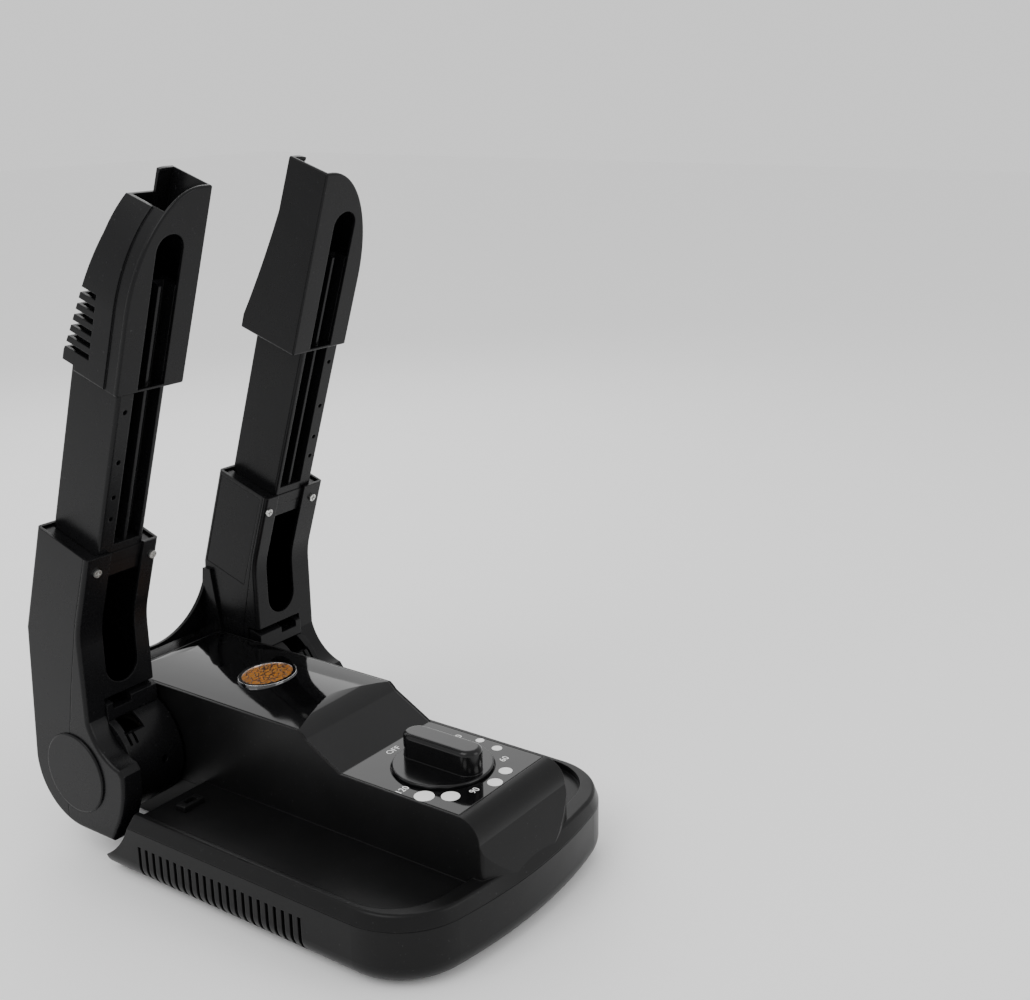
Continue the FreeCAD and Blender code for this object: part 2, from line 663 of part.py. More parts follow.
def make_post_left():
    """Sliding tube: rectangular, hollow, with a stepped channel and rib down its front."""
    half = sleeve_half_d - sleeve_wall - slide_gap
    outline = [(post_foot, -half + 8.0), (post_foot, half), (post_top, half),
               (post_top, -4.0), (post_step, -half),
               (post_foot + 24.0, -half)]
    body = along_arm_x(outline, -post_out, -post_in)
    body = round_edges(body, 2.0, lambda e: edge_runs_along_arm(e) and e.Length > 60.0)
    core = slant_box(-post_out + post_wall, -post_in - post_wall, post_foot - 5.0, post_top + 5.0,
                     -half + post_wall, half - channel_d - post_wall)
    core = core.cut(along_arm_x([(post_foot - 9.0, -half - 9.0), (post_foot - 9.0, -half + 8.0 + post_wall),
                                 (post_foot, -half + 8.0 + post_wall), (post_foot + 24.0, -half + post_wall),
                                 (post_foot + 24.0, -half - 9.0)], -post_out, -post_in))
    channel = slant_box(-channel_out, -channel_in, channel_foot, post_top + 5.0, half - channel_d, half + 5.0)
    rib = slant_box(-70.2, -68.2, channel_foot, post_top, half - channel_d - 0.5, half - 1.2)
    body = body.cut(core).cut(channel).fuse(rib)
    for s in (22.5, 37.0, 60.0, 92.0):
        body = body.cut(rod(1.5, 6.0, arm_point(-83.2, s, half - 3.0), P))
    return body


def nozzle_block(grow, foot, d0, d1):
    """Nozzle body between two planes across the arm; grow moves its walls outwards."""
    cx = -(nozzle_out - nozzle_round_a)
    cs = nozzle_top - nozzle_round_b
    a = nozzle_round_a + grow
    b = nozzle_round_b + grow
    centre = arm_point(cx, cs, d0)
    round_part = Part.Ellipse(centre + U * b, centre - X_AXIS * a, centre)
    shoulder = Part.Face(Part.Wire([round_part.toShape()])).extrude(P * (d1 - d0))
    above = slant_box(-nozzle_out - 5.0, cx, cs, nozzle_top + 5.0, d0 - 1.0, d1 + 1.0)
    lower = slant_box(cx - a, -nozzle_in + grow, foot, cs, d0, d1)
    inner = slant_box(cx, -nozzle_in + grow, cs - 1.0, cs + b, d0, d1)
    return join([shoulder.common(above), lower, inner])


def rear_space(grow):
    """Space behind the nozzle's rear wall, which runs in towards the top; grow moves the wall out."""
    def at(s, d):
        spot = arm_point(0, s, d - grow)
        return (spot.y, spot.z)
    low = nozzle_foot - 9.0
    high = nozzle_top + 20.0
    pts = [at(low, nozzle_rear_d), at(nozzle_bend, nozzle_rear_d)]
    pts.append((at(nozzle_bend + 37.0, nozzle_rear_d + 8.0), at(nozzle_bend + 74.0, nozzle_top_d - 1.2)))
    pts += [at(high, nozzle_top_d), at(high, nozzle_rear_d - 40.0), at(low, nozzle_rear_d - 40.0)]
    return along_x(pts, -nozzle_out - 5.0, -nozzle_in + 5.0)


def make_nozzle_left():
    """Boot nozzle: skirt over the tube, curved outer wall, open scoop mouth, slot and louvers."""
    w = nozzle_wall
    body = nozzle_block(0.0, nozzle_foot, nozzle_rear_d, nozzle_front_d).cut(rear_space(0.0))
    body = round_edges(body, 1.2, lambda e: abs(max(gap_d(e)) - nozzle_front_d) < 0.05 and e.Length > 30.0)
    hollow = nozzle_block(-w, nozzle_foot - 5.0, nozzle_rear_d + w, nozzle_front_d - w)
    hollow = hollow.cut(rear_space(-w))
    mouth = slant_box(-nozzle_out - 5.0, -nozzle_in - w, mouth_foot, nozzle_top + 5.0,
                      nozzle_top_d + w, nozzle_front_d - w)
    mouth = mouth.fuse(slant_box(-nozzle_out - 5.0, -nozzle_in - plate_w, mouth_foot, nozzle_top + 5.0,
                                 nozzle_rear_d - 2.0, nozzle_front_d - w))
    band = nozzle_block(5.0, nozzle_foot - 5.0, 11.5, nozzle_front_d - 2.4)
    band = band.cut(nozzle_block(-1.0, nozzle_foot - 10.0, 11.0, nozzle_front_d))
    band = band.cut(slant_box(-60.0, 0.0, 0.0, 300.0, -30.0, 30.0))
    cuts = [hollow, mouth, band]
    r = (channel_out - channel_in) / 2.0
    mid = -(channel_out + channel_in) / 2.0
    slot_top = nozzle_top - 25.0
    cuts.append(slant_box(-channel_out, -channel_in, nozzle_foot + 2.0, slot_top - r, 14.0, nozzle_front_d + 2.0))
    cuts.append(rod(r, 10.0, arm_point(mid, slot_top - r, 14.0), P))
    for i in range(louver_n):
        s = louver_foot + i * louver_pitch
        back = nozzle_rear_d - 1.0
        cuts.append(slant_box(-nozzle_out - 1.0, -nozzle_out + 7.0, s, s + louver_h, back, -2.5))
    cuts.append(slant_box(-nozzle_out - 1.0, -nozzle_out + 14.0, nozzle_foot - 1.0, nozzle_foot + 3.5,
                          nozzle_rear_d - 1.0, nozzle_rear_d + 10.0))
    for tool in cuts:
        body = body.cut(tool)
    return body


def gap_d(e):
    origin = arm_point(0, 0, 0)
    return [abs((v.Point - origin).dot(P)) if (v.Point - origin).dot(P) > 0 else 0.0 for v in e.Vertexes]


def make_collar_left():
    """Guide ring clipped in the sleeve's mouth, with a lip that the tube slides through."""
    half = sleeve_half_d - sleeve_wall
    lip = 0.2
    ring = slant_box(-arm_out + sleeve_wall + 0.1, -arm_in - sleeve_wall - 0.1, -9.0, -1.5, -half + 0.1, half - 0.1)
    hole = slant_box(-post_out - lip, -post_in + lip, -12.0, 2.0, -half + slide_gap - lip, half - slide_gap + lip)
    return ring.cut(hole)


def make_catch_left():
    """Small catch on the tray floor that the folded arm snaps over."""
    y = pivot_y - bay_r - 9.0
    block = box(-77.0, -61.0, y - 8.0, y, tray_floor_z, tray_floor_z + 4.0)
    block = round_edges(block, 1.2, lambda e: e.BoundBox.ZMin > tray_floor_z + 0.5)
    return block.cut(box(-73.0, -65.0, y - 6.0, y - 2.0, tray_floor_z + 1.5, tray_floor_z + 9.0))


# ---------------------------------------------------------------- inner works

def make_scroll():
    """Blower casing: a drum open below for intake, with an outlet duct towards the heater."""
    r = fan_r + fan_gap + 4.0
    z0 = fan_z - 2.0
    z1 = fan_z + fan_h + 2.0
    drum = rod(r + scroll_t, z1 - z0, V(0, fan_y, z0), Z_AXIS)
    duct = box(-heater_half_w, heater_half_w, fan_y, heater_y, z0, z1)
    inner = rod(r, z1 - z0 - scroll_t, V(0, fan_y, z0 + scroll_t), Z_AXIS)
    inner_duct = box(-heater_half_w + scroll_t, heater_half_w - scroll_t, fan_y, heater_y + 1.0, z0 + scroll_t, z1)
    intake = rod(fan_r - 7.0, 10.0, V(0, fan_y, z0 - 3.0), Z_AXIS)
    body = drum.fuse(duct).cut(inner).cut(inner_duct).cut(intake)
    legs = [box(s * 30.0 - 3.0, s * 30.0 + 3.0, fan_y - 3.0, fan_y + 3.0, base_z + shell_t, z0) for s in (-1, 1)]
    return join([body] + legs)


def make_scroll_lid():
    r = fan_r + fan_gap + 4.0
    z1 = fan_z + fan_h + 2.0
    lid = rod(r + scroll_t, 2.0, V(0, fan_y, z1), Z_AXIS)
    lid = lid.fuse(box(-heater_half_w, heater_half_w, fan_y, heater_y, z1, z1 + 2.0))
    return lid.removeSplitter().cut(rod(motor_shaft_r + 1.5, 10.0, V(0, fan_y, z1 - 3.0), Z_AXIS))


def make_impeller():
    hub = rod(hub_r, fan_h, V(0, fan_y, fan_z), Z_AXIS)
    plate = rod(fan_r, 1.6, V(0, fan_y, fan_z + fan_h - 1.6), Z_AXIS)
    ring = rod(fan_r, 1.6, V(0, fan_y, fan_z), Z_AXIS).cut(rod(fan_r - 7.0, 4.0, V(0, fan_y, fan_z - 1), Z_AXIS))
    parts = [hub, plate, ring]
    blade = box(fan_r - 6.0, fan_r - 0.3, -0.6, 0.6, fan_z + 0.8, fan_z + fan_h - 0.8)
    for i in range(fan_blades):
        one = blade.rotated(V(fan_r - 3.0, 0, 0), Z_AXIS, 35.0)
        one = one.rotated(V(0, 0, 0), Z_AXIS, 360.0 * i / fan_blades).translated(V(0, fan_y, 0))
        parts.append(one)
    bore = rod(motor_shaft_r, 100.0, V(0, fan_y, 0), Z_AXIS)
    return join(parts).cut(bore)


def make_heater_frame():
    z0 = heater_z - 2.0
    outer = box(-heater_half_w, heater_half_w, heater_y + 0.2, heater_y + heater_l, z0, z0 + heater_h + 4.0)
    t = 2.2
    inner = box(-heater_half_w + t, heater_half_w - t, heater_y - 1.0, heater_y + heater_l + 1.0, z0 + t,
                z0 + heater_h + 4.0 - t)
    legs = [box(s * 20.0 - 2.5, s * 20.0 + 2.5, heater_y + 4.0, heater_y + 10.0, base_z + shell_t, z0)
            for s in (-1, 1)]
    return join([outer.cut(inner)] + legs)


def make_heater_strips():
    """Ceramic-coated resistance strips standing across the air path."""
    t = 2.2
    z0 = heater_z - 2.0 + t
    z1 = heater_z + heater_h + 2.0 - t
    strips = []
    count = 9
    for i in range(count):
        x = -heater_half_w + t + (2 * heater_half_w - 2 * t) * (i + 0.5) / count
        strips.append(box(x - 0.5, x + 0.5, heater_y + 3.0, heater_y + heater_l - 3.0, z0, z1))
    return Part.makeCompound(strips)


def make_manifold():
    """Short duct that carries warm air from the heater into the cross tube."""
    z0 = pivot_z - tube_r * 0.8
    z1 = pivot_z + tube_r * 0.25
    y0 = heater_y + heater_l + 0.2
    outer = box(-heater_half_w, heater_half_w, y0, pivot_y - 2.0, z0, z1)
    inner = box(-heater_half_w + 2.0, heater_half_w - 2.0, y0 - 1.0, pivot_y + 1.0, z0 + 2.0, z1 - 2.0)
    return outer.cut(inner).cut(rod(tube_r + 0.15, 200.0, V(-100.0, pivot_y, pivot_z), X_AXIS))


def make_cross_tube():
    reach = hump_half_w + barrel_side_gap + 12.0
    tube = rod(tube_r, 2 * reach, V(-reach, pivot_y, pivot_z), X_AXIS)
    tube = tube.cut(rod(tube_r - tube_wall, 2 * reach + 2.0, V(-reach - 1.0, pivot_y, pivot_z), X_AXIS))
    port = box(-heater_half_w + 2.5, heater_half_w - 2.5, pivot_y - tube_r - 1.0, pivot_y - 8.0,
               pivot_z - tube_r * 0.8 + 2.2, pivot_z + tube_r * 0.25 - 2.2)
    for side in (-1, 1):
        x = side * clip_x() - 0.9
        groove = rod(tube_r + 1.0, 1.8, V(x, pivot_y, pivot_z), X_AXIS)
        tube = tube.cut(groove.cut(rod(tube_r - 1.2, 1.8, V(x, pivot_y, pivot_z), X_AXIS)))
    return tube.cut(port)


def clip_x():
    """Middle of the retaining clip, just outside the barrel's end wall."""
    return hump_half_w + barrel_side_gap + barrel_wall + 2.0 + 1.4


def make_clip(side):
    x = side * clip_x() - 0.8
    ring = rod(tube_r + 3.5, 1.6, V(x, pivot_y, pivot_z), X_AXIS)
    ring = ring.cut(rod(tube_r - 1.2, 4.0, V(x - 1.0, pivot_y, pivot_z), X_AXIS))
    return ring.cut(box(x - 1.0, x + 3.0, pivot_y - 5.0, pivot_y + 5.0, pivot_z, pivot_z + 40.0))


def make_timer_knob():
    z0 = panel_z - knob_sink + 0.4
    disc = rod(knob_r, knob_rim_h, V(0, knob_y, z0), Z_AXIS)
    disc = round_edges(disc, 1.0, lambda e: e.BoundBox.ZMin > z0 + knob_rim_h - 0.1 and e.Length > 20)
    half_w = knob_bar_w / 2.0
    end = knob_bar_l / 2.0 - half_w
    bar_h = panel_z + knob_top - z0
    bar = box(-half_w, half_w, knob_y - end, knob_y + end, z0, z0 + bar_h)
    for s in (-1, 1):
        bar = bar.fuse(rod(half_w, bar_h, V(0, knob_y + s * end, z0), Z_AXIS))
    bar = bar.removeSplitter()
    bar = round_edges(bar, 3.0, lambda e: e.BoundBox.ZMin > z0 + bar_h - 0.1)
    knob = disc.fuse(bar).removeSplitter()
    return knob.cut(rod(shaft_r, 12.0, V(0, knob_y, z0 - 1.0), Z_AXIS))


def make_timer_body():
    top = panel_z - cover_t - 0.2
    case = box(-timer_w / 2, timer_w / 2, knob_y - timer_w / 2, knob_y + timer_w / 2, top - timer_h, top)
    case = round_edges(case, 3.0, lambda e: e.BoundBox.ZLength > timer_h - 1.0)
    return case.cut(rod(shaft_r + running_gap, 40.0, V(0, knob_y, top - timer_h + 4.0), Z_AXIS))


def make_timer_shaft():
    top = panel_z - cover_t - 0.2
    z0 = top - timer_h + 4.5
    return rod(shaft_r, panel_z - knob_sink - 0.6 + 12.0 - z0, V(0, knob_y, z0), Z_AXIS)


def screws_at(places, z, height):
    screws = []
    for x, y in places:
        head = rod(screw_head_r, 2.0, V(x, y, z), Z_AXIS)
        head = head.cut(box(x - 2.0, x + 2.0, y - 0.4, y + 0.4, z - 1.0, z + 0.8))
        head = head.cut(box(x - 0.4, x + 0.4, y - 2.0, y + 2.0, z - 1.0, z + 0.8))
        screws.append(head.fuse(rod(screw_r, height, V(x, y, z + 1.0), Z_AXIS)))
    return Part.makeCompound(screws)


def make_cover_screws_left():
    """Two small pan-head screws near the top of the sleeve's front, beside the slot."""
    screws = []
    for x in (-90.8, -49.6):
        start = arm_point(x, -10.5, sleeve_half_d)
        head = rod(2.6, 1.4, start, P)
        head = head.cut(slant_box(x - 2.0, x + 2.0, -10.9, -10.1, sleeve_half_d + 0.7, sleeve_half_d + 3.0))
        head = head.cut(slant_box(x - 0.4, x + 0.4, -12.5, -8.5, sleeve_half_d + 0.7, sleeve_half_d + 3.0))
        screws.append(head)
    return Part.makeCompound(screws)


def main():
    os.makedirs("parts", exist_ok=True)
    hump = hump_solid()
    save("lower_housing", make_lower_housing())
    save("upper_housing", make_upper_housing(hump))
    save("centre_cover", make_centre_cover(hump))

    badge_z = hump_top_z() - badge_sink - 0.6
    rim = oval(badge_half_x, badge_half_y, badge_z, 2.4)
    well = oval(badge_half_x - badge_rim, badge_half_y - badge_rim, badge_z + 0.8, 5.0)
    save("badge_ring", rim.cut(well))
    face = oval(badge_half_x - badge_rim - 0.1, badge_half_y - badge_rim - 0.1, badge_z + 0.8, 1.2)
    save("badge_insert", face)

    save("timer_knob", make_timer_knob())
    save("timer_shaft", make_timer_shaft())
    save("timer_body", make_timer_body())

    save("blower_scroll", make_scroll())
    save("blower_lid", make_scroll_lid())
    save("fan_impeller", make_impeller())
    motor_z = fan_z + fan_h + 4.2
    motor = rod(motor_r, motor_h, V(0, fan_y, motor_z), Z_AXIS)
    motor = round_edges(motor, 2.0, lambda e: e.BoundBox.ZMin > motor_z + motor_h - 0.1 and e.Length > 50)
    save("fan_motor", motor.cut(rod(motor_shaft_r + running_gap, 14.0, V(0, fan_y, motor_z - 1.0), Z_AXIS)))
    save("motor_shaft", rod(motor_shaft_r, motor_z + 12.0 - fan_z, V(0, fan_y, fan_z), Z_AXIS))
    save("heater_frame", make_heater_frame())
    save("heater_strips", make_heater_strips())
    fuse_z = heater_z + heater_h + 2.0
    save("thermal_cutout", rod(6.0, 5.0, V(0, heater_y + heater_l / 2.0, fuse_z), Z_AXIS))
    save("air_manifold", make_manifold())
    save("cross_tube", make_cross_tube())
    for name, side in SIDES:
        save("pivot_clip_" + name, make_clip(side))

    block_y = -112.0
    block = box(-16.0, 16.0, block_y - 7.0, block_y + 7.0, base_z + shell_t, base_z + shell_t + 12.0)
    for i in range(3):
        block = block.cut(rod(1.8, 20.0, V(-9.0 + 9.0 * i, block_y, base_z + shell_t + 5.0), Z_AXIS))
    save("terminal_block", block)

    inlet_y = rear_wall_y(inlet_z)
    flange_y = inlet_y + (inlet_r + 4.4) * heel_slope() + 0.3
    bush = rod(inlet_r + 2.2, inlet_len - 2.0, V(0, flange_y + 2.0 - inlet_len, inlet_z), V(0, 1, 0))
    flange = rod(inlet_r + 4.4, 2.0, V(0, flange_y, inlet_z), V(0, 1, 0))
    bush = bush.fuse(flange).removeSplitter()
    save("cord_inlet_bush", bush.cut(rod(inlet_r, 60.0, V(0, inlet_y - 30.0, inlet_z), V(0, 1, 0))))

    feet = [rod(foot_r, foot_h - 1.0, V(x, y, 0), Z_AXIS) for x, y in foot_places()]
    feet = [round_edges(f, 1.0, lambda e: e.BoundBox.ZMax < 0.1 and e.Length > 20) for f in feet]
    save("rubber_feet", Part.makeCompound(feet))
    save("base_screws", screws_at(screw_places(), base_z + 2.0, 22.0))

    arm = make_arm_left()
    panel_space = side_panel_box(0.15)
    shells = {"front": arm.common(front_region(-0.15)), "rear": arm.cut(front_region(0.15)).cut(panel_space)}
    panel = arm_side_panel()
    pieces = {
        "arm_front_shell": shells["front"],
        "arm_rear_shell": shells["rear"],
        "arm_side_panel": panel,
        "hinge_barrel": make_barrel_left(),
        "hinge_sill": make_brow_left(),
        "hinge_cap": make_hinge_cap_left(),
        "cover_screws": make_cover_screws_left(),
        "sleeve_collar": make_collar_left(),
        "slide_tube": make_post_left(),
        "boot_nozzle": make_nozzle_left(),
        "tray_catch": make_catch_left(),
    }
    for piece, shape in pieces.items():
        for name, side in SIDES:
            save(piece + "_" + name, mirror_for(shape, side))
    save("rear_bridge", make_bridge())


def arm_side_panel():
    """Inset panel in the arm's inner face."""
    plate = side_panel_box(0.0)
    return plate.common(box(-arm_in - 1.0, -arm_in - 0.1, 0, 300, 0, 300))


def make_hinge_cap_left():
    """Shallow round cap over the outer end of the hinge, low and rounded."""
    cap = rod(26.0, 1.6, V(-arm_out - 1.6, pivot_y, pivot_z - 1.0), X_AXIS)
    return round_edges(cap, 1.2, lambda e: abs(e.BoundBox.XMax + arm_out + 1.6) < 0.01 and e.Length > 50)


main()
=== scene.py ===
import json
import math

import bmesh
import bpy
from bpy.props import FloatProperty, FloatVectorProperty, IntProperty, PointerProperty
from mathutils import Matrix, Vector


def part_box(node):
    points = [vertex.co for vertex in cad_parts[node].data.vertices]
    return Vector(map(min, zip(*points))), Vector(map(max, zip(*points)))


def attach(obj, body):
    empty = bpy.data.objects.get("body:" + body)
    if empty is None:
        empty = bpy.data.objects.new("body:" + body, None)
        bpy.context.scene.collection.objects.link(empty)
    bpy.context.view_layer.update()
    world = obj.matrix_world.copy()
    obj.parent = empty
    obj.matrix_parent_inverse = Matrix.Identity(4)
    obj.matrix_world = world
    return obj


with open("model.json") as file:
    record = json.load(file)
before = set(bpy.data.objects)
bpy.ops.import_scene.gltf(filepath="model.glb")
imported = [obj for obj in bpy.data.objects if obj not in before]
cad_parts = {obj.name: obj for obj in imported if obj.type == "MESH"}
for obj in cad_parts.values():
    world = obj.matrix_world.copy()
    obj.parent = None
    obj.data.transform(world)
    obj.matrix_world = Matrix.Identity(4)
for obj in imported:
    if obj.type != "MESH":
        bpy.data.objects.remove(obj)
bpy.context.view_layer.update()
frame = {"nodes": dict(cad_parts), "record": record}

bl_info = {
    "name": "Boot Dryer",
    "version": (1, 0, 0),
    "blender": (4, 5, 0),
    "location": "View3D > Sidebar > Boot Dryer",
    "description": "Finishes, dial print, badge and studio for a folding boot dryer",
    "category": "Object",
}

MM = 0.001
SENSOR_WIDTH = 36.0      # millimetres, so that the lens setting reads as on a full-frame camera
COVER_OVER_TIMER = 3.2 * MM      # wall of the centre cover above the timer's body
EDGE_SAMPLES = 6         # rays that look for a nearby edge to round
MARKS_PER_NUMERAL = 3    # every third mark on the dial is a numeral, the others are dots
MINUTES_PER_MARK = 10
NUMERAL_REACH = 0.97     # the numerals' ring as a share of the dots' ring
DOT_VERTICES = 40
LETTER_STEPS = 4         # straight parts in each curve of a letter
MERGE_DISTANCE = 1e-6
FLOOR_HALF = 6.0         # half the floor's side, in metres
WHITE = (1, 1, 1, 1)

# Studio lights: name, place, what it faces, width and height, power
SOFT_BOXES = (
    ("key_soft_box", (-1.2, 0.1, 1.5), (0, 0, 0.1), (1.2, 1.2), 14),
    ("front_soft_box", (0.5, -1.7, 0.7), (0, 0, 0.12), (0.9, 1.2), 7),
    ("rear_strip", (0.7, 0.9, 0.9), (0, 0.05, 0.15), (1.3, 1.0), 5),
)

# Places worked out from the frame
KNOB_LOW, KNOB_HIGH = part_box("timer_knob")
DIAL_X = (KNOB_LOW.x + KNOB_HIGH.x) / 2
DIAL_Y = (KNOB_LOW.y + KNOB_HIGH.y) / 2
TIMER_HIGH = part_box("timer_body")[1]
PANEL_Z = TIMER_HIGH.z + COVER_OVER_TIMER


# ------------------------------------------------------------------ shader maths

class Value:
    """A number that varies over a surface. Python's operators add Math nodes."""

    def __init__(self, finish, socket):
        self.finish = finish
        self.socket = socket

    def math(self, operation, *others):
        return self.finish.math(operation, self, *others)

    def __add__(self, other):
        return self.math("ADD", other)

    __radd__ = __add__

    def __mul__(self, other):
        return self.math("MULTIPLY", other)

    __rmul__ = __mul__

    def __sub__(self, other):
        return self.math("SUBTRACT", other)

    def __rsub__(self, other):
        return self.finish.math("SUBTRACT", other, self)


class Finish:
    """One material and its node tree, built from nothing."""

    def __init__(self, name):
        self.material = bpy.data.materials.new(name)
        self.material.use_nodes = True
        self.tree = self.material.node_tree
        self.tree.nodes.clear()
        self.shader = self.tree.nodes.new("ShaderNodeBsdfPrincipled")
        output = self.tree.nodes.new("ShaderNodeOutputMaterial")
        self.tree.links.new(self.shader.outputs["BSDF"], output.inputs["Surface"])

    def node(self, kind, settings=None, **inputs):
        """Add a node, set its settings first, then its sockets by name (spaces as underscores)."""
        made = self.tree.nodes.new(kind)
        for key, setting in (settings or {}).items():
            if key == "stops":
                self.fill_ramp(made.color_ramp, setting)
            else:
                setattr(made, key, setting)
        for key, value in inputs.items():
            self.feed(made.inputs[int(key[1:]) if key[0] == "_" else key.replace("_", " ")], value)
        return made

    @staticmethod
    def fill_ramp(ramp, stops):
        while len(ramp.elements) < len(stops):
            ramp.elements.new(1.0)
        for element, (place, colour) in zip(ramp.elements, stops):
            element.position = place
            element.color = colour

    def feed(self, socket, value):
        if isinstance(value, Value):
            self.tree.links.new(value.socket, socket)
        elif isinstance(value, bpy.types.NodeSocket):
            self.tree.links.new(value, socket)
        else:
            socket.default_value = value

    def math(self, operation, *values):
        made = self.node("ShaderNodeMath", {"operation": operation, "use_clamp": False})
        for socket, value in zip(made.inputs, values):
            self.feed(socket, value)
        return Value(self, made.outputs[0])

    def place(self, scale=(1, 1, 1)):
        """Object coordinates in metres, stretched by scale."""
        coords = self.node("ShaderNodeTexCoord").outputs["Object"]
        return self.node("ShaderNodeMapping", Vector=coords, Scale=scale).outputs["Vector"]

    def noise(self, size, detail=3.0, roughness=0.5, scale=(1, 1, 1)):
        """Noise whose blotches are about size metres across, from 0 to 1."""
        made = self.node("ShaderNodeTexNoise", None, Vector=self.place(scale), Scale=1.0 / size,
                         Detail=detail, Roughness=roughness)
        return Value(self, made.outputs[0])

    def mix(self, factor, low, high):
        made = self.node("ShaderNodeMix", {"data_type": "RGBA"}, _0=factor, _6=low, _7=high)
        return made.outputs[2]

    def ramp(self, value, stops):
        return Value(self, self.node("ShaderNodeValToRGB", {"stops": stops}, Fac=value).outputs["Color"])

    def bump(self, height, strength, distance, normal=None):
        """Normal tilted by a height, over another normal when one is given."""
        made = self.node("ShaderNodeBump", None, Height=height, Strength=strength, Distance=distance)
        if normal is not None:
            self.feed(made.inputs["Normal"], normal)
        return made.outputs["Normal"]

    def soft_edges(self, radius):
        """Normal that rounds sharp edges by radius, as a mould does."""
        return self.node("ShaderNodeBevel", {"samples": EDGE_SAMPLES}, Radius=radius).outputs["Normal"]

    def set(self, **sockets):
        for key, value in sockets.items():
            self.feed(self.shader.inputs[key.replace("_", " ")], value)
        return self.material


def grey(level, alpha=1.0):
    return (level, level, level, alpha)


def moulded_plastic(name, colour, rough, grain, edge):
    """Black moulded plastic: fine grain, faint cloudiness, rubbed patches and rounded edges."""
    f = Finish(name)
    cloud = f.noise(0.045, 4.0, 0.6)
    speck = f.noise(0.0006, 2.0, 0.5)
    rubbed = f.ramp(f.noise(0.03, 6.0, 0.7), ((0.45, grey(0)), (0.75, grey(1))))
    dark = tuple(0.8 * c for c in colour) + (1.0,)
    light = tuple(1.35 * c + 0.002 for c in colour) + (1.0,)
    shade = f.mix(cloud, dark, light)
    dust = f.ramp(f.noise(0.0016, 2.0, 0.4), ((0.70, grey(0)), (0.78, grey(1))))
    shade = f.mix(dust * 0.10, shade, (0.16, 0.16, 0.165, 1.0))
    rounded = f.soft_edges(edge)
    return f.set(Base_Color=shade, Roughness=rough + rubbed * 0.05 + speck * 0.04,
                 Normal=f.bump(speck, grain, 0.00008, rounded), Specular_IOR_Level=0.16)


def gloss_plastic(name, colour, rough, edge):
    """High-gloss black plastic: clean mirror finish with a little moulding ripple and fine hairlines."""
    f = Finish(name)
    ripple = f.noise(0.020, 2.0, 0.4)
    hair = f.noise(0.0012, 3.0, 0.6, (1.0, 0.05, 1.0))
    smear = f.ramp(f.noise(0.05, 5.0, 0.65), ((0.5, grey(0)), (0.8, grey(1))))
    dark = tuple(colour) + (1.0,)
    light = tuple(1.5 * c + 0.002 for c in colour) + (1.0,)
    return f.set(Base_Color=f.mix(smear, dark, light), Roughness=rough + smear * 0.05 + hair * 0.02,
                 Normal=f.bump(ripple, 0.10, 0.0004, f.soft_edges(edge)), Specular_IOR_Level=0.30)


def metal(name, colour, rough, grain_size, stretch=(1, 1, 1)):
    """Plated or polished metal with a fine grain and worn, darker patches."""
    f = Finish(name)
    grain = f.noise(grain_size, 4.0, 0.6, stretch)
    worn = f.noise(0.006, 3.0, 0.6)
    dark = tuple(0.75 * c for c in colour) + (1.0,)
    return f.set(Base_Color=f.mix(worn, dark, tuple(colour) + (1.0,)), Roughness=rough + grain * 0.12,
                 Metallic=1.0, Normal=f.bump(grain, 0.25, 0.00005, f.soft_edges(0.0003)))


def rubber(name):
    """Matt black rubber with a dry, speckled surface."""
    f = Finish(name)
    speck = f.noise(0.0007, 3.0, 0.6)
    return f.set(Base_Color=f.mix(f.noise(0.01), (0.012, 0.012, 0.012, 1), (0.03, 0.03, 0.03, 1)),
                 Roughness=0.72 + speck * 0.15, Normal=f.bump(speck, 0.4, 0.0001))


def print_ink(name):
    """White pad print with slightly uneven cover."""
    f = Finish(name)
    cover = f.noise(0.0012, 3.0, 0.6)
    return f.set(Base_Color=f.mix(cover, (0.80, 0.80, 0.79, 1), (0.92, 0.92, 0.91, 1)),
                 Roughness=0.42 + cover * 0.12, Normal=f.bump(cover, 0.15, 0.00003))


def badge_enamel(name, colour):
    """Orange enamel mottled with gold under dark brown threads."""
    f = Finish(name)
    cells = f.node("ShaderNodeTexVoronoi", {"feature": "DISTANCE_TO_EDGE"}, Vector=f.place((1, 1.5, 1)),
                   Scale=240.0)
    thread = f.ramp(Value(f, cells.outputs["Distance"]), ((0.05, grey(1)), (0.13, grey(0))))
    ground = f.mix(f.noise(0.003, 4.0, 0.6), (0.55, 0.30, 0.06, 1), tuple(colour) + (1.0,))
    return f.set(Base_Color=f.mix(thread, ground, (0.035, 0.014, 0.008, 1)), Roughness=0.25 + thread * 0.12,
                 Metallic=0.4 - thread * 0.4, Normal=f.bump(thread, 0.5, 0.0002), Coat_Weight=0.6)


def pale_floor(name, colour):
    """Nearly white studio floor with a faint mottle."""
    f = Finish(name)
    mottle = f.noise(0.12, 4.0, 0.6)
    low = tuple(0.985 * c for c in colour) + (1.0,)
    return f.set(Base_Color=f.mix(mottle, low, tuple(colour) + (1.0,)), Roughness=0.55 + mottle * 0.1)


def dress(obj, material):
    """Give every face of a piece one material."""
    obj.data.materials.clear()
    obj.data.materials.append(material)


# ------------------------------------------------------------------ settings

